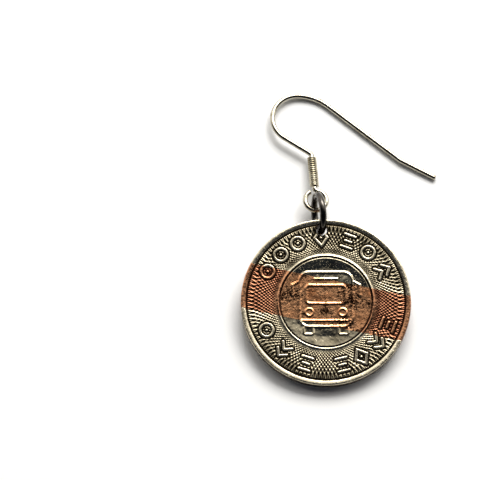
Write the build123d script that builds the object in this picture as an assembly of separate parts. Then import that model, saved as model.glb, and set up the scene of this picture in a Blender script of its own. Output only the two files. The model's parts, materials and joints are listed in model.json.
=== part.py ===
"""Earring made from a drilled transit token, lying on a flat surface.

Millimetres, +Z up.  The token is a copper core, clad on each face with two
segments of white metal that leave a copper stripe across the middle.  It is
drilled near its edge for a jump ring, the jump ring holds the eye of a fish-hook
ear wire, and a close-wound coil sleeves the ear wire's stem.  Everything is
placed from the token's centre first; the finished set is then moved so that the
origin is the middle of its footprint on the surface.
"""
from build123d import *
from math import cos, radians, sin, sqrt
import os

# token
TOKEN_R = 11.5              # outer radius
TOKEN_T = 1.6               # thickness over the two rims
CORE_T = 0.7                # copper core between the white-metal facings
STRIPE_W = 6.3              # copper stripe, a quarter of an inch
STRIPE_TURN = -12.0         # degrees, the stripe runs down to the right
RIM_INNER_R = 10.85
RING_OUTER_R = 6.6          # thin raised ring round the centre field
RING_INNER_R = 6.3
BAND_DROP = 0.10            # patterned band, below the rim
RING_DROP = 0.03
FIELD_DROP = 0.14           # centre field, below the rim
FIELD_FACE_Z = TOKEN_T / 2 - FIELD_DROP
EDGE_R = 0.12               # rounding of the rim's outer corner
HOLE_R = 0.75
HOLE_AT = 10.02             # hole centre from the token's centre
HOLE_TURN = 93.0            # degrees from +X
TOKEN_TILT = 5.0            # degrees, the drilled side is held up by the jump ring

# jump ring
RING_WIRE = 0.9
RING_R = 2.55               # centre line radius, 6 mm over all
RING_SEAM = 1.6             # degrees of open seam
RING_SEAM_AT = 250.0        # degrees round the ring, from its far side towards the top
RING_CENTRE_X = -0.875
RING_CENTRE_Y = 12.4
RING_LEAN = 10.0            # degrees, its top leans to the right
RING_YAW = 8.0              # degrees about the vertical

# ear wire
WIRE = 0.7
EYE_R = 1.45                # eye's centre line radius
EYE_NECK_R = 0.5            # bend between the stem and the eye
EYE_END = 116.0             # degrees, where the cut end stops beside the stem
STEM = 4.8
KINK_R = 0.6
KINK_TURN = 53.0
RISE = 4.15
ARCH_BENDS = ((3.45, 60.0), (3.6, 90.0), (6.85, 36.3))   # radius, turn
LEG = 12.4
FLARE_R = 3.0
FLARE_TURN = 11.0
TIP = 5.1
STEM_LEAN = 4.3             # degrees, the stem leans to the left
EYE_CENTRE_X = -1.29
EYE_CENTRE_Y = 14.64
WIRE_TILT = 6.3             # degrees, the eye is held up by the jump ring
ARCH_TOP = 7                # bend of the path that touches the surface
ARCH_TOP_SHARE = 0.8        # how far along that bend it touches

# coil on the stem
COIL_WIRE = 0.26
COIL_BORE = 0.76
COIL_LENGTH = 4.65
COIL_START = 2.0            # from the eye's centre, along the stem


def half_profile(drop_sign):
    """Half section of a full token face from its middle plane to its relief."""
    half = TOKEN_T / 2
    points = [
        (0, 0),
        (TOKEN_R, 0),
        (TOKEN_R, half - EDGE_R),
        (TOKEN_R - EDGE_R, half),
        (RIM_INNER_R, half),
        (RIM_INNER_R - BAND_DROP, half - BAND_DROP),
        (RING_OUTER_R + RING_DROP, half - BAND_DROP),
        (RING_OUTER_R, half - RING_DROP),
        (RING_INNER_R, half - RING_DROP),
        (RING_INNER_R - FIELD_DROP + RING_DROP, half - FIELD_DROP),
        (0, half - FIELD_DROP),
    ]
    return [(r, drop_sign * z) for r, z in points]


def token_half(drop_sign):
    """One face of the token as a solid of revolution, before it is divided."""
    outline = Plane.XZ * Polyline(*half_profile(drop_sign), close=True)
    return revolve(make_face(outline), Axis.Z)


def drilled(shape):
    """The hole for the jump ring, straight through the token."""
    angle = radians(HOLE_TURN)
    centre = Pos(HOLE_AT * cos(angle), HOLE_AT * sin(angle), 0)
    return shape - centre * Cylinder(HOLE_R, 2 * TOKEN_T)


def stripe_box(height):
    """Box over the stripe, turned to the stripe's direction."""
    return Rot(0, 0, STRIPE_TURN) * Box(4 * TOKEN_R, STRIPE_W, height)


def facing(drop_sign, side):
    """White-metal segment on one face, on one side of the stripe."""
    outside = Rot(0, 0, STRIPE_TURN) * Pos(0, side * (TOKEN_R + STRIPE_W / 2), 0)
    half_space = outside * Box(4 * TOKEN_R, 2 * TOKEN_R, 2 * TOKEN_T)
    core_slab = Box(4 * TOKEN_R, 4 * TOKEN_R, CORE_T)
    segment = (token_half(drop_sign) & half_space) - core_slab
    return drilled(segment) if side > 0 else segment


def copper_core():
    """Core disc with the stripe standing up to both faces, all one piece."""
    whole = token_half(1) + token_half(-1)
    stripe = whole & stripe_box(2 * TOKEN_T)
    disc = Cylinder(TOKEN_R, CORE_T)
    return drilled(stripe + disc)


def jump_ring():
    """Ring of round wire in the YZ plane, with its seam a hair open."""
    section = Plane.XZ * Pos(RING_R, 0) * Circle(RING_WIRE / 2)
    ring = revolve(section, Axis.Z, 360 - RING_SEAM)
    return Rot(0, 90, 0) * Rot(0, 0, RING_SEAM_AT) * ring


def ear_wire_path():
    """Centre line of the ear wire in the XY plane, eye centred on the origin."""
    neck_y = sqrt((EYE_R + EYE_NECK_R) ** 2 - EYE_NECK_R ** 2)
    neck_turn = 90 - Vector(EYE_NECK_R, neck_y).get_angle(Vector(0, 1))
    eye_turn = 360 - EYE_END + neck_turn
    stem = Line((0, neck_y), (0, neck_y + STEM))
    neck = JernArc((0, neck_y), (0, -1), EYE_NECK_R, neck_turn)
    eye = JernArc(neck @ 1, neck % 1, EYE_R, -eye_turn)
    pieces = [eye, neck, stem]
    kink = JernArc(stem @ 1, stem % 1, KINK_R, KINK_TURN)
    rise = Line(kink @ 1, kink @ 1 + (kink % 1) * RISE)
    pieces += [kink, rise]
    for radius, turn in ARCH_BENDS:
        last = pieces[-1]
        pieces.append(JernArc(last @ 1, last % 1, radius, -turn))
    leg = Line(pieces[-1] @ 1, pieces[-1] @ 1 + (pieces[-1] % 1) * LEG)
    flare = JernArc(leg @ 1, leg % 1, FLARE_R, FLARE_TURN)
    tip = Line(flare @ 1, flare @ 1 + (flare % 1) * TIP)
    pieces += [leg, flare, tip]
    return pieces


def ear_wire():
    """Fish-hook ear wire: eye, stem, kink, arch, long leg and flared tip."""
    pieces = ear_wire_path()
    path = Wire([piece.edge() for piece in pieces])
    section = Plane(origin=pieces[-1] @ 1, z_dir=pieces[-1] % 1) * Circle(WIRE / 2)
    return sweep(section, path)


def coil_wrap():
    """Outer shape of the close-wound coil, a sleeve that is free on the stem."""
    outer_r = COIL_BORE / 2 + COIL_WIRE
    sleeve = Cylinder(outer_r, COIL_LENGTH) - Cylinder(COIL_BORE / 2, 2 * COIL_LENGTH)
    return Pos(0, COIL_START + COIL_LENGTH / 2, 0) * Rot(90, 0, 0) * sleeve


def token_place():
    """The token rests on the near point of its edge, its far side held up."""
    tilt = radians(TOKEN_TILT)
    height = TOKEN_R * sin(tilt) + TOKEN_T / 2 * cos(tilt)
    return Pos(0, 0, height) * Rot(TOKEN_TILT, 0, 0)


def ring_place():
    """The jump ring stands on the surface, leaning a little."""
    height = RING_R * cos(radians(RING_LEAN)) + RING_WIRE / 2
    return Pos(RING_CENTRE_X, RING_CENTRE_Y, height) * Rot(0, 0, RING_YAW) * Rot(0, RING_LEAN, 0)


def rest_line():
    """Axis through the two points where the ear wire touches the surface."""
    pieces = ear_wire_path()
    arch = lying_flat() * Pos(*(pieces[ARCH_TOP] @ ARCH_TOP_SHARE))
    tip = lying_flat() * Pos(*(pieces[-1] @ 1))
    return Axis(arch.position, tip.position - arch.position)


def lying_flat():
    """The ear wire's place before its eye is lifted."""
    return Pos(EYE_CENTRE_X, EYE_CENTRE_Y, WIRE / 2) * Rot(0, 0, STEM_LEAN)


def ear_wire_placed(shape):
    """The ear wire lies on its arch and tip, its eye held up by the jump ring."""
    return (lying_flat() * shape).rotate(rest_line(), -WIRE_TILT)


def placed_nodes():
    """Every node in its place, measured from under the token's centre."""
    nodes = {
        "token_core": token_place() * copper_core(),
        "face_upper": token_place() * facing(1, 1),
        "face_lower": token_place() * facing(1, -1),
        "back_upper": token_place() * facing(-1, 1),
        "back_lower": token_place() * facing(-1, -1),
        "jump_ring": ring_place() * jump_ring(),
        "ear_wire": ear_wire_placed(ear_wire()),
        "coil_wrap": ear_wire_placed(coil_wrap()),
    }
    return nodes


def marked_points():
    """Joint and mount places as short rods, so that they move with the parts."""
    stem_axis = Line((0, COIL_START, 0), (0, COIL_START + COIL_LENGTH, 0))
    tip = ear_wire_path()[-1]
    return {
        "ring axis": ring_place() * Line((0, 0, 0), (1, 0, 0)),
        "eye axis": ear_wire_placed(Line((0, 0, 0), (0, 0, 1))),
        "stem axis": ear_wire_placed(stem_axis),
        "tip axis": ear_wire_placed(Line(tip @ 0.5, tip @ 1)),
        "face normal": token_place() * Line((0, 0, FIELD_FACE_Z), (0, 0, TOKEN_T)),
        "hole axis": token_place() * Pos(HOLE_AT * cos(radians(HOLE_TURN)),
                                         HOLE_AT * sin(radians(HOLE_TURN)), 0)
                     * Line((0, 0, 0), (0, 0, 1)),
    }


def main():
    """Write one STEP for each node, with the origin under the middle of the set."""
    os.makedirs("parts", exist_ok=True)
    nodes = placed_nodes()
    boxes = [shape.bounding_box() for shape in nodes.values()]
    low = Vector(*[min(getattr(box.min, axis) for box in boxes) for axis in "XYZ"])
    high = Vector(*[max(getattr(box.max, axis) for box in boxes) for axis in "XYZ"])
    to_origin = Pos(-(low.X + high.X) / 2, -(low.Y + high.Y) / 2, -low.Z)
    for name, shape in nodes.items():
        export_step(to_origin * shape, f"parts/{name}.step")
        print(name, round(shape.volume, 4), "mm3")
    print("size", high - low, "moved by", to_origin.position)
    for name, line in marked_points().items():
        line = to_origin * line
        direction = (line @ 1 - line @ 0).normalized()
        print(name, [round(v, 4) for v in line @ 0], [round(v, 5) for v in direction])


main()
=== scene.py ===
"""Looks for an earring made from a drilled two-metal transit token.

The token's relief is a height worked out over the whole struck disc and sampled on
each of its pieces.  The jump ring, ear wire and coil are round wire carried along
their centre lines.  Everything below is in millimetres until it is put in a mesh.
"""
import json
import bmesh
import bpy
import mathutils
import numpy as np
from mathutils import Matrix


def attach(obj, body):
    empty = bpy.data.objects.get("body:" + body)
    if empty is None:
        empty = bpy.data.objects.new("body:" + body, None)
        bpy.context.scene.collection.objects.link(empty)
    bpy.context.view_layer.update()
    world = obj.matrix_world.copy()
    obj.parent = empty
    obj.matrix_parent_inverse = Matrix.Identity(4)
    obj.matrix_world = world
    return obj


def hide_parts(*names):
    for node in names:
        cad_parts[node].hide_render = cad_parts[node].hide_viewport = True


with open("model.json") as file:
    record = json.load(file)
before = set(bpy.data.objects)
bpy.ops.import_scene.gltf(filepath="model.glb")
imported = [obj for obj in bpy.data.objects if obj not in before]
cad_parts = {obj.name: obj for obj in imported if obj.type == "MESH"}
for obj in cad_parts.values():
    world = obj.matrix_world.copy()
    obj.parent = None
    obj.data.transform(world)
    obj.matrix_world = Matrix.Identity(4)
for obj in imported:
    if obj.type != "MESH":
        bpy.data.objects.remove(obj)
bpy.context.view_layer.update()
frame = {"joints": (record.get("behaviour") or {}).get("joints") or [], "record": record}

MM = 0.001
JOINTS = {joint["name"]: joint for joint in frame["joints"]}
MOUNTS = {mount["name"]: mount for mount in frame["record"]["mounts"]}

# token
TOKEN_R = 11.5
TOKEN_T = 1.6
CORE_T = 0.7
STRIPE_HALF = 3.15
STRIPE_TURN = np.radians(-12.0)
EDGE_R = 0.14
FACE_DROP = 0.14            # the part's flat field lies this much under the rim
RIM_R = 10.9                # inner edge of the rim's top
RIM_SLOPE = 0.13
CROWN_R = 11.28             # middle of the rim's rounded top
CROWN_HALF = 0.38
CROWN_DROP = 0.05
BAND_R = (6.78, 10.56)      # engine-turned band, with a plain groove either side
BAND_FADE = (0.1, 0.8)      # its lines grow from this far inside its edge to this far into it
BAND_END = 0.1              # and die away over this much at the rim
BEAD_R = 6.45               # thin raised ring
BEAD_W = 0.38
BEAD_DROP = 0.03            # its top is this much lower than the rim
FIELD_R = 6.16
FIELD_STEP = 0.06           # half the width of the slope round the field
BAND_RISE = 0.08            # the band climbs this much to the raised ring
BAND_RISE_WIDTH = 1.7
BAND_DEPTH = 0.22
FIELD_DEPTH = 0.16
FIELD_DISH = 0.15           # the centre is this much lower than the field's edge
LINES = 120                 # engine-turned lines in each of the two families
LINE_TWIST = 0.30           # radians that a line swings round between the band's edges
LINE_EASE = 1.7             # 1 would be an even swing; more flattens it outwards
LINE_POWER = 3              # a higher power makes narrower ridges
LINE_HEIGHT = 0.11
MARK_R = 8.92
MARK_HEIGHT = 0.19
MARK_WIDTH = 0.42
MARK_SLOPE = 0.11
MARK_REACH = 1.6            # no mark goes further than this from its middle
FAR = 9.0                   # stands for no mark near
MOAT = (0.02, 0.14)         # the lines are cleared from just inside a mark's foot to this far out
WHEEL_R = 0.88
DEVICE_HEIGHT = 0.15
DEVICE_LINES = (0.46, 0.38)    # widths of the device's outline and of its details
DETAIL_SHARE = 0.9          # the details' height, as a share of the outline's
HOLE_R = 0.75
HOLE_AT = 10.02
HOLE_TURN = np.radians(93.0)
BURR_DROP = 0.02            # the drill's edge is rubbed down this much
BURR_WIDTH = 0.10
MARK_TURNS = (152, 133, 115, 94, 70, 50, 29, 206, 229, 252, 284, 302, 321, 339)

# how worn a struck face is: 0 keeps its dark toning, 1 is rubbed bright
LINE_WEAR = 0.75
MARK_WEAR = 0.95
MARK_TOP = (0.55, 0.95)     # share of a mark's height where the rubbing starts and is full
BEAD_TOP = (0.3, 0.9)
RIM_TOP = (0.5, 1.0)
GROOVE_WEAR = 0.7           # the smooth ground just outside the raised ring
GROOVE_FADE = (0.2, 1.2)
FIELD_WEAR = 0.8
FIELD_FADE = 0.1
HOLE_FADE = 0.3             # toning is left this far round the hole
BEAD_FADE = (0.15, 0.05)    # and in the corner inside the raised ring
EDGE_SHADE_FADE = (0.05, 0.01)    # painted shade: the token's outer edge is toned dark over this span, standing in for the shaded floor it reflects
# how much darker the outer edge is painted, as shade
EDGE_SHADE_DEPTH = 0.7
CORE_WEAR = 0.4             # the core's edge, between the facings

# grids
FACING_GRID = (520, 150)    # columns along the stripe, rows from it to the token's edge
CORE_GRID = (170, 50)
STRIPE_GRID = (370, 98)
RIM_PULL = 0.06             # draws the rows together near the rim
END_PULL = np.pi / 2 * 0.86    # draws the columns together at the stripe's ends
MERGE_AT = 2e-7             # metres
SHARP_ANGLE = np.radians(75.0)

# wires
RING_R = 2.55
RING_WIRE_R = 0.45
RING_SEAM = np.radians(1.6)
RING_SEAM_AT = np.radians(250.0)
RING_STEPS = 160
WIRE_R = 0.35
EYE_R = 1.45
EYE_NECK_R = 0.5
EYE_END = np.radians(116.0)
STEM = 4.8
EYE_STEPS = 90
NECK_STEPS = 12
STEM_STEPS = 10
STRAIGHT_STEP = 0.4
# each bend's radius, its turn in degrees and the straight run after it
BENDS = ((0.6, 53.0, 4.15), (3.45, -60.0, 0.0), (3.6, -90.0, 0.0), (6.85, -36.3, 12.4),
         (3.0, 11.0, 5.1))
COIL_BORE = 0.76
COIL_WIRE_R = 0.13
COIL_LENGTH = 4.65
COIL_START = 2.0
COIL_TURNS = 15
COIL_STEPS = 32             # points in each turn

# struck metal; a wear value plus noise decides how dark the toning is
TONING_MM = 2.6             # patches of toning
PIT_MM = 0.22               # pits and specks, drawn coarser than real ones, which wouldn't show
TONED = (0.65, 1.20)
WORN = (1.0, 1.5)
FIELD_TONED = (0.30, 0.58)
PITTED = (0.60, 0.70)
FINE_SPREAD = (0.3, 0.8)
BAND_ROUGH = (0.16, 0.34)
SCRATCHES = ((0.7, 0.12), (2.3, 0.09))    # each set's direction and width in mm, drawn coarse too
SCRATCH_LENGTH = 30.0       # times its width
SCRATCHED = (0.70, 0.78)
MARK_BUMP = (0.28, 0.02)    # strength, and depth in mm
RIPPLE_BUMP = (0.5, 0.08)

# drawn wire
STAIN_MM = 1.1
HANDLING_MM = 0.10          # faint handling marks, drawn coarser than real ones
HANDLED = (0.3, 0.75)
WIRE_BUMP = (0.15, 0.01)

# node settings that repeat: a smooth step between two limits, a mix of two colours
STEP = {"interpolation_type": "SMOOTHSTEP"}
COLOURS = {"data_type": "RGBA", "out": 2}

# stage
FLOOR_HALF = 1.5            # metres
TOOTH_MM = 6.0              # the paper's tooth, drawn far coarser than real
SKY_WAY = (0.08, 0.99, 0.0)    # the room is bright towards this way
SKY_EDGE = (0.10, 0.35)
HORIZON = (0.08, 0.34)      # low down, a little light comes from all round
HORIZON_SHARE = 0.20
SKY_STRENGTH = 1.25
LAMP_SIZE = (0.40, 0.24)    # metres
LAMP_WATTS = 3.3
LAMP_COLOUR = (1.0, 0.99, 0.97)
LAMP_AT = (0.10, 0.36, 0.34)
LENS = 250.0
CAMERA_UP = np.radians(71.2)
CAMERA_FIELD = 65.3         # millimetres across the picture
CAMERA_AIM = (-11.6, 9.0, 0.0)    # millimetres from the token's centre


def unit(v):
    """The vector divided by its length."""
    v = np.asarray(v, float)
    return v / np.linalg.norm(v)


class Place:
    """An origin and three axes that carry local millimetres to the frame's metres."""

    def __init__(self, origin, x, y, z):
        self.origin = np.asarray(origin, float)
        self.axes = np.array([x, y, z], float)

    def put(self, points):
        """Origin plus each coordinate times its axis."""
        return self.origin + np.asarray(points, float) @ self.axes * MM


def token_place():
    """The token's centre and axes, from the flat of its centre field."""
    face = MOUNTS["token_face"]
    z = unit(face["axis"])
    x = unit(np.cross((0, 1, 0), z))
    centre = np.array(face["pos_m"]) - z * (TOKEN_T / 2 - FACE_DROP) * MM
    return Place(centre, x, np.cross(z, x), z)


def ring_place():
    """The jump ring's centre, with local z along its axis and local x nearest upright."""
    joint = JOINTS["ring_turn"]
    z = unit(joint["axis"])
    x = unit(np.array([0, 0, 1]) - z[2] * z)
    return Place(joint["pos_m"], x, np.cross(z, x), z)


def ear_wire_place():
    """The eye's centre, with local y up the stem and local z along the eye's axis."""
    joint = JOINTS["ear_wire_swing"]
    z = unit(joint["axis"])
    y = unit(JOINTS["coil_spin"]["axis"])
    return Place(joint["pos_m"], np.cross(y, z), y, z)


# ---------------------------------------------------------------- relief

def smooth(low, high, value):
    """Smoothstep: 0 below low, 1 above high, 3t2 - 2t3 between."""
    t = np.clip((value - low) / (high - low), 0, 1)
    return t * t * (3 - 2 * t)


def ridge(distance, width):
    """A rounded bar: the upper half of an ellipse across its width, 1 at the middle."""
    return np.sqrt(np.clip(1 - (2 * distance / width) ** 2, 0, 1))


def segment_distance(x, y, x0, y0, x1, y1):
    """Distance to a straight stroke between two ends."""
    dx, dy = x1 - x0, y1 - y0
    t = np.clip(((x - x0) * dx + (y - y0) * dy) / (dx * dx + dy * dy), 0, 1)
    return np.hypot(x - x0 - t * dx, y - y0 - t * dy)


def round_box_distance(x, y, half_w, half_h, corner):
    """Signed distance to a rectangle's outline with round corners."""
    qx = np.abs(x) - half_w + corner
    qy = np.abs(y) - half_h + corner
    outside = np.hypot(np.maximum(qx, 0), np.maximum(qy, 0))
    return outside + np.minimum(np.maximum(qx, qy), 0) - corner


def wheel(u, v):
    """Mark: distance to a ring with a small boss."""
    r = np.hypot(u, v)
    return np.minimum(np.abs(r - WHEEL_R), r)


def track(u, v):
    """Mark: distance to three level bars, the middle one short."""
    sizes = ((0.74, 0.88), (0.42, 0.0), (0.74, -0.88))
    bars = [segment_distance(u, v, -w, h, w, h) for w, h in sizes]
    return np.minimum.reduce(bars)


def chevrons(u, v):
    """Mark: distance to two arrowheads, one above the other, pointing outwards."""
    strokes = [segment_distance(np.abs(u), v, 0.8, base, 0, base + 0.8) for base in (-1.0, 0.1)]
    return np.minimum.reduce(strokes)


def lozenge(u, v):
    """Mark: distance to a diamond outline with a small boss."""
    outline = np.abs(np.abs(u) / 0.86 + np.abs(v) / 1.12 - 1) * 0.68
    return np.minimum(outline, np.hypot(u, v))


MARKS = (wheel, wheel, wheel, lozenge, track, wheel, chevrons,
         wheel, chevrons, track, track, lozenge, chevrons, track)


def marks(x, y):
    """Distance to the nearest mark, each in its own axes across and along its radius."""
    nearest = np.full_like(x, FAR)
    for turn, mark in zip(np.radians(MARK_TURNS), MARKS):
        out = x * np.cos(turn) + y * np.sin(turn) - MARK_R
        across = -x * np.sin(turn) + y * np.cos(turn)
        near = (np.abs(out) < MARK_REACH) & (np.abs(across) < MARK_REACH)
        nearest[near] = np.minimum(nearest[near], mark(across[near], out[near]))
    return nearest


def device(x, y):
    """Centre device: the front of a bus in raised outline, on two wheels.

    Each line is a distance to a stroke, in millimetres from the token's centre.
    """
    body = np.abs(round_box_distance(x, y - 0.35, 3.55, 3.75, 1.25))
    screen = np.abs(round_box_distance(x, y - 1.05, 2.65, 1.25, 0.45))
    pane = segment_distance(x, y, 0, 2.3, 0, -0.2)
    sign = segment_distance(x, y, -1.5, 3.2, 1.5, 3.2)
    bumper = segment_distance(np.abs(x), y, 0, -2.55, 3.4, -2.55)
    lamp = np.abs(np.hypot(np.abs(x) - 2.25, y + 1.4) - 0.5)
    mirror = segment_distance(np.abs(x), y, 4.55, 2.35, 4.55, 0.95)
    arm = segment_distance(np.abs(x), y, 3.55, 2.9, 4.55, 2.35)
    tyre = np.abs(round_box_distance(np.abs(x) - 2.35, y + 3.95, 0.62, 0.5, 0.2))
    thick = np.minimum.reduce([body, screen, mirror])
    thin = np.minimum.reduce([pane, sign, bumper, lamp, arm, tyre])
    return np.maximum(ridge(thick, DEVICE_LINES[0]), DETAIL_SHARE * ridge(thin, DEVICE_LINES[1]))


def engine_turning(r, angle):
    """Two families of lines that swing opposite ways as they run out: a lattice of ridges.

    Each is the power of |cos(half the count times the angle turned by the swing)|.
    """
    t = np.clip((r - BAND_R[0]) / (BAND_R[1] - BAND_R[0]), 0, 1)
    twist = LINE_TWIST * (1 - (1 - t) ** LINE_EASE)
    left = np.abs(np.cos(LINES / 2 * (angle + twist))) ** LINE_POWER
    right = np.abs(np.cos(LINES / 2 * (angle - twist))) ** LINE_POWER
    return np.maximum(left, right) * 0.8 + left * right * 0.2


def relief(x, y):
    """Height from the rim's top at each point of a struck face, with its wear (which also carries painted
    shade on the token's outer edge) and polish.

    The band, the field, the raised ring and the rim are worked out over the whole face
    and blended from one to the next by smoothsteps of the radius.
    """
    r = np.hypot(x, y)
    angle = np.arctan2(y, x)
    inside = smooth(BAND_R[0] - BAND_FADE[0], BAND_R[0] + BAND_FADE[1], r)
    inside *= 1 - smooth(BAND_R[1], BAND_R[1] + BAND_END, r)
    lines = engine_turning(r, angle) * inside
    stroke = marks(x, y)
    foot = MARK_WIDTH / 2 + MARK_SLOPE
    raised = 1 - smooth(foot - 2 * MARK_SLOPE, foot, stroke)
    lines *= smooth(foot - MOAT[0], foot + MOAT[1], stroke)
    band = -BAND_DEPTH + np.maximum(LINE_HEIGHT * lines, MARK_HEIGHT * raised)
    band += BAND_RISE * (1 - smooth(BEAD_R, BEAD_R + BAND_RISE_WIDTH, r)) * (1 - raised)
    field = -FIELD_DEPTH - FIELD_DISH * (1 - np.clip(r / FIELD_R, 0, 1) ** 2)
    field += DEVICE_HEIGHT * device(x, y)
    height = np.where(r > BEAD_R, band, field)
    into_field = smooth(FIELD_R - FIELD_STEP, FIELD_R + FIELD_STEP, r)
    height = np.where(r < BEAD_R, field * (1 - into_field) - BAND_DEPTH * into_field, height)
    bead = ridge(r - BEAD_R, BEAD_W)
    height = np.maximum(height, -BAND_DEPTH + (BAND_DEPTH - BEAD_DROP) * bead)
    rim = smooth(RIM_R - RIM_SLOPE, RIM_R, r)
    crown = -CROWN_DROP * ((r - CROWN_R) / CROWN_HALF) ** 2
    height = height * (1 - rim) + np.minimum(crown, 0) * rim
    corner = np.clip((r - (TOKEN_R - EDGE_R)) / EDGE_R, 0, 1)
    height -= EDGE_R * (1 - np.sqrt(1 - corner ** 2))
    hx, hy = HOLE_AT * np.cos(HOLE_TURN), HOLE_AT * np.sin(HOLE_TURN)
    burr = np.hypot(x - hx, y - hy) - HOLE_R
    height -= BURR_DROP * (1 - smooth(0.0, BURR_WIDTH, burr))
    wear_and_edge_shade = np.maximum(LINE_WEAR * lines, MARK_WEAR * smooth(*MARK_TOP, raised))
    groove = 1 - smooth(BEAD_R + GROOVE_FADE[0], BEAD_R + GROOVE_FADE[1], r)
    wear_and_edge_shade = np.maximum(wear_and_edge_shade, GROOVE_WEAR * groove)
    wear_and_edge_shade = np.maximum(wear_and_edge_shade, smooth(*BEAD_TOP, bead))
    wear_and_edge_shade = np.maximum(wear_and_edge_shade, smooth(*RIM_TOP, rim))
    polish = 1 - smooth(FIELD_R - FIELD_FADE, FIELD_R, r)
    wear_and_edge_shade *= smooth(0.0, HOLE_FADE, burr)
    wear_and_edge_shade *= smooth(BEAD_R - BEAD_FADE[0], BEAD_R - BEAD_FADE[1], r)
    # painted shade: the token's outer edge is darkened as if toned, for its dark reflection of the shaded
    # floor
    wear_and_edge_shade *= 1 - EDGE_SHADE_DEPTH * smooth(TOKEN_R - EDGE_SHADE_FADE[0], TOKEN_R - EDGE_SHADE_FADE[1], r)
    wear_and_edge_shade = np.maximum(wear_and_edge_shade, FIELD_WEAR * polish)
    return height, wear_and_edge_shade, polish


# ---------------------------------------------------------------- meshes

def quads(rows, cols, first=0, wrap=False):
    """Corner indices of every cell of a grid, as rows of four."""
    i = np.arange(rows if wrap else rows - 1)[:, None]
    j = np.arange(cols - 1)[None, :]
    nxt = (i + 1) % rows
    corners = [i * cols + j, i * cols + j + 1, nxt * cols + j + 1, nxt * cols + j]
    return first + np.stack(np.broadcast_arrays(*corners), -1).reshape(-1, 4)


def make_piece(name, points, faces, values=None):
    """Mesh object from arrays: doubles merged, faces outwards, smooth but for sharp edges."""
    mesh = bpy.data.meshes.new(name)
    mesh.vertices.add(len(points))
    mesh.vertices.foreach_set("co", np.ascontiguousarray(points, np.float32).ravel())
    mesh.loops.add(faces.size)
    mesh.loops.foreach_set("vertex_index", np.ascontiguousarray(faces, np.int32).ravel())
    mesh.polygons.add(len(faces))
    mesh.polygons.foreach_set("loop_start", np.arange(0, faces.size, 4, dtype=np.int32))
    for key, value in (values or {}).items():
        attribute = mesh.attributes.new(key, "FLOAT", "POINT")
        attribute.data.foreach_set("value", np.ascontiguousarray(value, np.float32).ravel())
    mesh.update(calc_edges=True)
    work = bmesh.new()
    work.from_mesh(mesh)
    bmesh.ops.remove_doubles(work, verts=work.verts, dist=MERGE_AT)
    bmesh.ops.recalc_face_normals(work, faces=work.faces)
    work.to_mesh(mesh)
    work.free()
    mesh.shade_smooth()
    mesh.set_sharp_from_angle(angle=SHARP_ANGLE)
    piece = bpy.data.objects.new(name, mesh)
    bpy.context.scene.collection.objects.link(piece)
    return piece


def turned(x, y, angle):
    """Both coordinates turned about the centre."""
    return x * np.cos(angle) - y * np.sin(angle), x * np.sin(angle) + y * np.cos(angle)


def segment(side, outer, inner_z, cols, rows):
    """Closed part of the disc on one side of the stripe, with the hole if it is there.

    Each column runs straight out from the stripe's edge to the token's edge:
    distance = chord / sin(angle) + share * (radius - chord / sin(angle)).
    The shares are drawn together near the rim.  outer(x, y) gives the height, wear (with the painted shade
    on the token's outer edge) and polish of the outer face; the inner face is flat at inner_z.
    """
    share = np.linspace(0, 1, rows)
    share = share + RIM_PULL * np.sin(np.pi * share) * share
    start = np.arcsin(STRIPE_HALF / TOKEN_R)
    angle = np.linspace(start, np.pi - start, cols)
    chord = STRIPE_HALF / np.sin(angle)
    r = chord + share[:, None] * (TOKEN_R - chord)
    x, y = side * r * np.cos(angle), side * r * np.sin(angle)
    hx, hy = turned(HOLE_AT * np.cos(HOLE_TURN), HOLE_AT * np.sin(HOLE_TURN), -STRIPE_TURN)
    away = np.hypot(x - hx, y - hy)
    cut = np.zeros((rows - 1, cols - 1), bool)
    if side > 0:
        middle_x = (x[:-1, :-1] + x[1:, 1:]) / 2
        middle_y = (y[:-1, :-1] + y[1:, 1:]) / 2
        cut = np.hypot(middle_x - hx, middle_y - hy) < HOLE_R
    open_count = np.zeros((rows, cols), int)
    for di in (0, 1):
        for dj in (0, 1):
            open_count[di:rows - 1 + di, dj:cols - 1 + dj] += cut
    lip = (open_count > 0) & (open_count < 4)
    x = np.where(lip, hx + (x - hx) * HOLE_R / np.maximum(away, 1e-6), x)
    y = np.where(lip, hy + (y - hy) * HOLE_R / np.maximum(away, 1e-6), y)
    x, y = turned(x, y, STRIPE_TURN)
    height, wear_and_edge_shade, polish = outer(x, y)
    under = np.nonzero(cut.any(axis=1))[0]
    below = np.arange(under[-1] + 1, under[0] - 1, -1) if len(under) else np.arange(0)
    order = np.concatenate([[0], np.arange(rows), [rows - 1], below]).astype(int)
    flat = np.ones(len(order), bool)
    flat[1:rows + 1] = False
    z = np.where(flat[:, None], inner_z, height[order])
    points = np.stack([x[order], y[order], z], -1).reshape(-1, 3)
    values = {"wear_and_edge_shade": wear_and_edge_shade[order], "polish": polish[order]}
    cells = quads(len(order), cols, wrap=True).reshape(len(order), cols - 1, 4)
    keep = np.ones((len(order), cols - 1), bool)
    keep[1:rows] = ~cut
    walls = np.zeros((0, 4), int)
    if len(below):
        first_below = rows + 2
        keep[first_below:first_below + len(below) - 1] = ~cut[below[1:]]
        row_below = np.zeros(rows, int)
        row_below[below] = first_below + np.arange(len(below))
        walls = hole_walls(cut, cols, row_below)
    faces = np.concatenate([cells[keep], walls])
    return points, faces, {key: value.reshape(-1) for key, value in values.items()}


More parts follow.
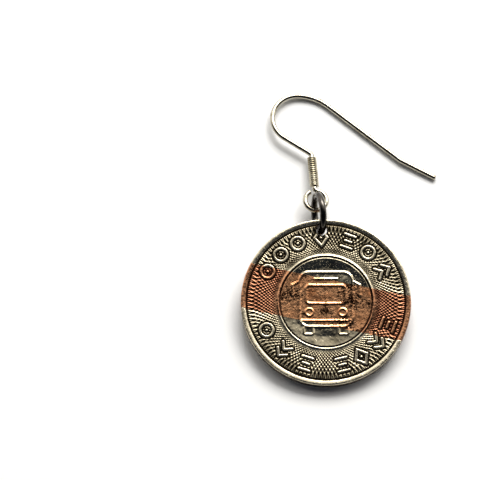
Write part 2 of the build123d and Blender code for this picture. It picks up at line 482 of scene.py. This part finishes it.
def hole_walls(cut, cols, row_below):
    """Quads from the hole's lip on the outer face to the same lip on the inner face."""
    padded = np.pad(cut, 1).astype(int)
    across = np.nonzero(padded[:-1, 1:-1] != padded[1:, 1:-1])
    along = np.nonzero(padded[1:-1, :-1] != padded[1:-1, 1:])
    sides = []
    for (i, j), (di, dj) in ((across, (0, 1)), (along, (1, 0))):
        top_a, top_b = (i + 1) * cols + j, (i + 1 + di) * cols + j + dj
        low_a, low_b = row_below[i] * cols + j, row_below[i + di] * cols + j + dj
        sides.append(np.stack([top_a, top_b, low_b, low_a], -1))
    return np.concatenate(sides)


def face_heights(face):
    """Outer-face function for one side of the token; the back runs the other way."""
    def heights(x, y):
        height, wear_and_edge_shade, polish = relief(face * x, y)
        return face * (TOKEN_T / 2 + height), wear_and_edge_shade, polish
    return heights


def stripe_sheet(face):
    """One face of the stripe with its ends and sides turned down to the middle plane.

    Each row runs across the disc at its own distance v from the middle, out to
    the square root of (radius squared - v squared) at both ends.
    """
    cols, rows = STRIPE_GRID
    v = np.linspace(-STRIPE_HALF, STRIPE_HALF, rows)
    t = np.sin(np.linspace(-1, 1, cols) * END_PULL) / np.sin(END_PULL)
    v = np.pad(v, 1, mode="edge")
    t = np.pad(t, 1, mode="edge")
    x = np.sqrt(TOKEN_R ** 2 - v ** 2)[:, None] * t
    y = np.broadcast_to(v[:, None], x.shape)
    x, y = turned(x, y, STRIPE_TURN)
    z, wear_and_edge_shade, polish = face_heights(face)(x, y)
    z[[0, -1], :] = 0
    z[:, [0, -1]] = 0
    points = np.stack([x, y, z], -1).reshape(-1, 3)
    values = {"wear_and_edge_shade": wear_and_edge_shade.reshape(-1), "polish": polish.reshape(-1)}
    return points, quads(rows + 2, cols + 2), values


def joined(parts):
    """Several sets of points, faces and values put one after another."""
    points, faces, values, first = [], [], {}, 0
    for part_points, part_faces, part_values in parts:
        points.append(part_points)
        faces.append(part_faces + first)
        first += len(part_points)
        for key, value in part_values.items():
            values.setdefault(key, []).append(value)
    values = {key: np.concatenate(value) for key, value in values.items()}
    return np.concatenate(points), np.concatenate(faces), values


def flat_outer(x, y):
    """The core's plain upper face, under the facing, half worn and not polished."""
    return np.full_like(x, CORE_T / 2), np.full_like(x, CORE_WEAR), np.zeros_like(x)


def tube(path, normals, radius, sides=24, nib=0.05):
    """Round wire along a path: centre + radius (cos a * normal + sin a * (tangent x normal)).

    Both ends are cut square with a small bevel and closed to a point in the middle.
    """
    tangents = np.gradient(path, axis=0)
    tangents /= np.linalg.norm(tangents, axis=1)[:, None]
    start = path[0] + tangents[0] * nib
    end = path[-1] - tangents[-1] * nib
    middle = path[1:-1]
    path = np.concatenate([path[:1], path[:1], [start], middle, [end], path[-1:], path[-1:]])
    radii = np.full(len(path), radius)
    radii[[0, -1]] = 0
    radii[[1, -2]] = radius - nib
    normals = np.concatenate([normals[:1], normals[:1], normals, normals[-1:], normals[-1:]])
    tangents = np.concatenate([tangents[:1], tangents[:1], tangents, tangents[-1:], tangents[-1:]])
    others = np.cross(tangents, normals)
    a = np.linspace(0, 2 * np.pi, sides + 1)[None, :, None]
    ring = np.cos(a) * normals[:, None] + np.sin(a) * others[:, None]
    points = path[:, None] + radii[:, None, None] * ring
    return points.reshape(-1, 3), quads(len(path), sides + 1)


def arc_points(start, heading, radius, turn, step=np.radians(4.0)):
    """Points of a bend from its start, its heading and its signed turn, all in the plane."""
    count = max(3, int(abs(turn) / step))
    side = np.sign(turn)
    a = heading + np.linspace(0, turn, count + 1)[1:]
    centre = start + radius * side * np.array([-np.sin(heading), np.cos(heading)])
    return centre + radius * side * np.stack([np.sin(a), -np.cos(a)], -1), heading + turn


def ear_wire_path():
    """The ear wire's centre line: round the eye, up the stem, then bend by bend to the tip."""
    neck_y = np.sqrt((EYE_R + EYE_NECK_R) ** 2 - EYE_NECK_R ** 2)
    contact = np.arctan2(neck_y, EYE_NECK_R)
    around = np.linspace(EYE_END - 2 * np.pi, contact, EYE_STEPS)
    eye = EYE_R * np.stack([np.cos(around), np.sin(around)], -1)
    neck_a = np.linspace(contact - np.pi, -np.pi, NECK_STEPS)[1:]
    neck_centre = np.array([EYE_NECK_R, neck_y])
    neck = neck_centre + EYE_NECK_R * np.stack([np.cos(neck_a), np.sin(neck_a)], -1)
    stem_y = neck_y + np.linspace(0, STEM, STEM_STEPS + 1)[1:]
    stem = np.stack([np.zeros(STEM_STEPS), stem_y], -1)
    line = [eye, neck, stem]
    position, heading = stem[-1], np.pi / 2
    for radius, turn, run in BENDS:
        bend, heading = arc_points(position, heading, radius, np.radians(turn))
        line.append(bend)
        position = bend[-1]
        if run:
            steps = np.linspace(0, run, int(run / STRAIGHT_STEP) + 2)[1:, None]
            straight = position + steps * np.array([np.cos(heading), np.sin(heading)])
            line.append(straight)
            position = straight[-1]
    flat = np.concatenate(line)
    return np.concatenate([flat, np.zeros((len(flat), 1))], 1)


def make_ear_wire(place):
    """The ear wire as one bent wire."""
    path = ear_wire_path()
    upright = np.tile([0.0, 0.0, 1.0], (len(path), 1))
    points, faces = tube(path, upright, WIRE_R)
    return make_piece("ear_wire_bent", place.put(points), faces)


def make_jump_ring(place):
    """The jump ring: radius times (cos, sin) in its plane, open by the seam."""
    a = np.linspace(RING_SEAM_AT, RING_SEAM_AT + 2 * np.pi - RING_SEAM, RING_STEPS)
    out = np.stack([np.cos(a), np.sin(a), np.zeros_like(a)], -1)
    points, faces = tube(RING_R * out, out, RING_WIRE_R, sides=36, nib=0.03)
    return make_piece("jump_ring_wire", place.put(points), faces)


def make_coil(place):
    """The coil: a helix of fine wire round the stem, its turns a hair apart.

    Each point is (radius cos a, start + run a / full turn, radius sin a).
    """
    turns = np.linspace(0, COIL_TURNS, COIL_TURNS * COIL_STEPS + 1)
    radius = COIL_BORE / 2 + COIL_WIRE_R
    run = COIL_LENGTH - 2 * COIL_WIRE_R
    a = 2 * np.pi * turns
    out = np.stack([np.cos(a), np.zeros_like(a), np.sin(a)], -1)
    path = radius * out
    path[:, 1] = COIL_START + COIL_WIRE_R + run * turns / COIL_TURNS
    points, faces = tube(path, out, COIL_WIRE_R, sides=12, nib=0.02)
    return make_piece("coil_of_fine_wire", place.put(points), faces)


# ---------------------------------------------------------------- materials

def paint(code):
    """sRGB hex to linear colour with full alpha."""
    channels = [int(code[i:i + 2], 16) / 255 for i in (1, 3, 5)]
    linear = [c / 12.92 if c <= 0.04045 else ((c + 0.055) / 1.055) ** 2.4 for c in channels]
    return (*linear, 1.0)


def add(tree, kind, sockets=(), out=0, **settings):
    """A node with its settings and links; gives back one of its outputs, if it has any.

    The sockets are named, or in order; each takes a value or another node's output.
    """
    made = tree.nodes.new(kind)
    for key, value in settings.items():
        setattr(made, key, value)
    for key, value in sockets.items() if isinstance(sockets, dict) else enumerate(sockets):
        if isinstance(value, bpy.types.NodeSocket):
            tree.links.new(value, made.inputs[key])
        else:
            made.inputs[key].default_value = value
    return made.outputs[out] if len(made.outputs) else None


def noise_sockets(where, size_mm, detail=3.0, rough=0.55):
    """Sockets of a noise whose features are about this many millimetres across."""
    return {"Vector": where, "Scale": 1 / (size_mm * MM), "Detail": detail, "Roughness": rough}


def scratches(tree, where, turn, width_mm):
    """Fine lines one way: noise drawn out along one direction."""
    along = add(tree, "ShaderNodeMapping", {"Vector": where, "Rotation": (0, 0, turn),
                "Scale": (1.0, SCRATCH_LENGTH, 1.0)}, vector_type="TEXTURE")
    lines = add(tree, "ShaderNodeTexNoise", noise_sockets(along, width_mm, detail=1.0))
    return add(tree, "ShaderNodeMapRange", (lines, *SCRATCHED), **STEP)


def new_material(name):
    """Material with an empty node tree."""
    material = bpy.data.materials.new(name)
    material.use_nodes = True
    material.node_tree.nodes.clear()
    return material, material.node_tree


def struck_metal(name, bright, mid, dark, field_low, field_high, specks, speck_limits, field_rough,
                 ripple_mm):
    """Metal squeezed between dies, then carried in pockets for years.

    The high points are rubbed bright and the recesses hold dark toning, so the colour
    follows the height; the centre field is polished, with scratches and small pits.
    A metal keeps the default IOR.
    """
    material, tree = new_material(name)
    where = add(tree, "ShaderNodeTexCoord", out="Object")
    # the wear value also carries the painted shade on the token's outer edge
    wear_and_edge_shade, polish = [add(tree, "ShaderNodeAttribute", out="Fac", attribute_name=key)
                    for key in ("wear_and_edge_shade", "polish")]
    broad, fine, ripple = [
        add(tree, "ShaderNodeTexNoise", noise_sockets(where, size_mm, detail, rough))
        for size_mm, detail, rough in ((TONING_MM, 4.0, 0.55), (PIT_MM, 4.0, 0.65), (ripple_mm, 2.0, 0.55))]
    patch = add(tree, "ShaderNodeMath", (wear_and_edge_shade, broad), operation="ADD")
    spots = add(tree, "ShaderNodeMath", (fine, broad), operation="MULTIPLY")
    toned, worn, clean, spotted, pits, dull, shiny = [
        add(tree, "ShaderNodeMapRange", (value, *limits), **STEP)
        for value, limits in ((patch, TONED), (patch, WORN), (broad, FIELD_TONED), (spots, speck_limits),
                              (fine, PITTED), (fine, FINE_SPREAD + BAND_ROUGH),
                              (fine, FINE_SPREAD + field_rough))]
    speck = add(tree, "ShaderNodeMath", (spotted, polish), operation="MULTIPLY")
    field = add(tree, "ShaderNodeMix", {0: clean, 6: paint(field_low), 7: paint(field_high)}, **COLOURS)
    colour = paint(dark)
    for share, over in ((toned, paint(mid)), (worn, paint(bright)), (polish, field),
                        (speck, paint(specks))):
        colour = add(tree, "ShaderNodeMix", {0: share, 6: colour, 7: over}, **COLOURS)
    roughness = add(tree, "ShaderNodeMix", {0: polish, 2: dull, 3: shiny}, data_type="FLOAT")
    lines = [scratches(tree, where, turn, width_mm) for turn, width_mm in SCRATCHES]
    lines = add(tree, "ShaderNodeMath", lines, operation="MAXIMUM")
    handled = add(tree, "ShaderNodeMath", (lines, pits), operation="ADD")
    marked = add(tree, "ShaderNodeBump", {"Height": handled, "Strength": MARK_BUMP[0],
                 "Distance": MARK_BUMP[1] * MM})
    wavy = add(tree, "ShaderNodeBump", {"Height": ripple, "Strength": RIPPLE_BUMP[0],
               "Distance": RIPPLE_BUMP[1] * MM, "Normal": marked})
    surface = add(tree, "ShaderNodeBsdfPrincipled", {"Base Color": colour, "Metallic": 1.0,
                  "Roughness": roughness, "Normal": wavy})
    add(tree, "ShaderNodeOutputMaterial", {"Surface": surface})
    return material


def drawn_wire(name, clean, stained, low, high, stain_limits):
    """Wire pulled through a die: bright, with faint handling marks and a little staining."""
    material, tree = new_material(name)
    where = add(tree, "ShaderNodeTexCoord", out="Object")
    broad, fine = [add(tree, "ShaderNodeTexNoise", noise_sockets(where, size_mm))
                   for size_mm in (STAIN_MM, HANDLING_MM)]
    stain = add(tree, "ShaderNodeMapRange", (broad, *stain_limits), **STEP)
    colour = add(tree, "ShaderNodeMix", {0: stain, 6: paint(clean), 7: paint(stained)}, **COLOURS)
    roughness = add(tree, "ShaderNodeMapRange", (fine, *HANDLED, low, high), **STEP)
    normal = add(tree, "ShaderNodeBump", {"Height": fine, "Strength": WIRE_BUMP[0],
                 "Distance": WIRE_BUMP[1] * MM})
    surface = add(tree, "ShaderNodeBsdfPrincipled", {"Base Color": colour, "Metallic": 1.0,
                  "Roughness": roughness, "Normal": normal})
    add(tree, "ShaderNodeOutputMaterial", {"Surface": surface})
    return material


def matt_paper(name):
    """White paper sweep under the earring: matt, with a very faint tooth."""
    material, tree = new_material(name)
    where = add(tree, "ShaderNodeTexCoord", out="Object")
    tooth = add(tree, "ShaderNodeTexNoise", noise_sockets(where, TOOTH_MM))
    colour = add(tree, "ShaderNodeMix", {0: tooth, 6: paint("#f7f7f7"), 7: paint("#fbfbfb")}, **COLOURS)
    surface = add(tree, "ShaderNodeBsdfPrincipled", {"Base Color": colour, "Metallic": 0.0,
                  "Roughness": 0.9, "Specular IOR Level": 0.2})
    add(tree, "ShaderNodeOutputMaterial", {"Surface": surface})
    return material


# ---------------------------------------------------------------- assembly

def dress(piece, material, body, node):
    """Give a piece its finish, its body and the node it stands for."""
    piece.data.materials.clear()
    piece.data.materials.append(material)
    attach(piece, body)
    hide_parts(node)


def build_token():
    """The copper core with its stripe, and the four white-metal facings."""
    place = token_place()
    # nickel silver: cream where it is rubbed, brown-black between the lines, a mirror field
    white = struck_metal("nickel_silver_struck_worn", "#ece0c4", "#b3a78c", "#2a2318",
                         "#a3987e", "#dccfb2", "#2a2622", (0.40, 0.46), (0.06, 0.14), 1.4)
    # copper: orange where it is rubbed, red-brown in the lines, a mottled field
    copper = struck_metal("copper_struck_worn", "#d69c74", "#93644a", "#422519",
                          "#b0764f", "#f2b484", "#2c170e", (0.265, 0.31), (0.18, 0.34), 0.5)
    for face, side_name in ((1, "face"), (-1, "back")):
        for side, half_name in ((1, "upper"), (-1, "lower")):
            inner = face * CORE_T / 2
            points, faces, values = segment(side, face_heights(face), inner, *FACING_GRID)
            piece = make_piece(f"{side_name}_{half_name}_struck", place.put(points), faces, values)
            dress(piece, white, "token", f"{side_name}_{half_name}")
    parts = [stripe_sheet(1), stripe_sheet(-1)]
    parts += [segment(side, flat_outer, -CORE_T / 2, *CORE_GRID) for side in (1, -1)]
    points, faces, values = joined(parts)
    core = make_piece("core_and_stripe", place.put(points), faces, values)
    dress(core, copper, "token", "token_core")


def build_wires():
    """Jump ring, ear wire and coil."""
    # steel ring wire given a near-black colour as painted shade, standing in for the dark near side the
    # ring mirrors: almost black, with one soft grey streak
    dark = drawn_wire("steel_ring_wire_painted_shade", "#57534e", "#2f2c29", 0.12, 0.26, (0.45, 0.65))
    # polished stainless steel: a bright streak between two dark edges
    steel = drawn_wire("stainless_wire_polished", "#bdb7a6", "#948a76", 0.08, 0.20, (0.5, 0.7))
    # fine stainless wire: a warm glint on every turn
    fine = drawn_wire("stainless_coil_wire", "#c4bda8", "#93886f", 0.10, 0.24, (0.45, 0.65))
    dress(make_jump_ring(ring_place()), dark, "jump_ring", "jump_ring")
    dress(make_ear_wire(ear_wire_place()), steel, "ear_wire", "ear_wire")
    dress(make_coil(ear_wire_place()), fine, "coil", "coil_wrap")


def build_stage():
    """White paper, a bright room beyond the ear wire, a dark near side, and a soft lamp."""
    corners = FLOOR_HALF * np.array([[-1, -1, 0], [1, -1, 0], [1, 1, 0], [-1, 1, 0]])
    floor = make_piece("paper_floor", corners, np.array([[0, 1, 2, 3]]))
    floor.data.materials.append(matt_paper("white_paper_matt"))
    world = bpy.data.worlds.new("soft_room")
    bpy.context.scene.world = world
    world.use_nodes = True
    tree = world.node_tree
    tree.nodes.clear()
    way = add(tree, "ShaderNodeTexCoord", out="Generated")
    beyond = add(tree, "ShaderNodeVectorMath", (way, SKY_WAY), out="Value", operation="DOT_PRODUCT")
    up = add(tree, "ShaderNodeSeparateXYZ", (way,), out="Z")
    lit, low = [add(tree, "ShaderNodeMapRange", (value, *limits), **STEP)
                for value, limits in ((beyond, SKY_EDGE), (up, HORIZON + (HORIZON_SHARE, 0.0)))]
    share = add(tree, "ShaderNodeMath", (lit, low), operation="MAXIMUM")
    colour = add(tree, "ShaderNodeMix", {0: share, 6: paint("#1c212a"), 7: paint("#fffcf5")}, **COLOURS)
    light = add(tree, "ShaderNodeBackground", {"Color": colour, "Strength": SKY_STRENGTH})
    add(tree, "ShaderNodeOutputWorld", {"Surface": light})
    lamp = bpy.data.lights.new("soft_box", "AREA")
    lamp.shape = "RECTANGLE"
    lamp.size, lamp.size_y = LAMP_SIZE
    lamp.energy = LAMP_WATTS
    lamp.color = LAMP_COLOUR
    box = bpy.data.objects.new("soft_box", lamp)
    aim_at(box, np.array(LAMP_AT), np.zeros(3))
    bpy.context.scene.collection.objects.link(box)


def aim_at(thing, position, target):
    """Put a light or camera at a position, its -Z towards the target and its Y upwards."""
    back = unit(position - target)
    right = unit(np.cross((0, 0, 1), back))
    matrix = np.eye(4)
    matrix[:3] = np.stack([right, np.cross(back, right), back, position], -1)
    thing.matrix_world = mathutils.Matrix(matrix)


def build_camera():
    """Long lens from the near side, 71 degrees up, with room to the left for the twin."""
    data = bpy.data.cameras.new("camera")
    data.lens = LENS
    camera = bpy.data.objects.new("camera", data)
    distance = CAMERA_FIELD * MM * data.lens / data.sensor_width
    target = token_place().origin + np.array(CAMERA_AIM) * MM
    away = np.array([0, -np.cos(CAMERA_UP), np.sin(CAMERA_UP)])
    aim_at(camera, target + away * distance, target)
    bpy.context.scene.collection.objects.link(camera)
    bpy.context.scene.camera = camera


build_camera()
build_token()
build_wires()
build_stage()
bpy.context.scene.view_settings.view_transform = "Standard"
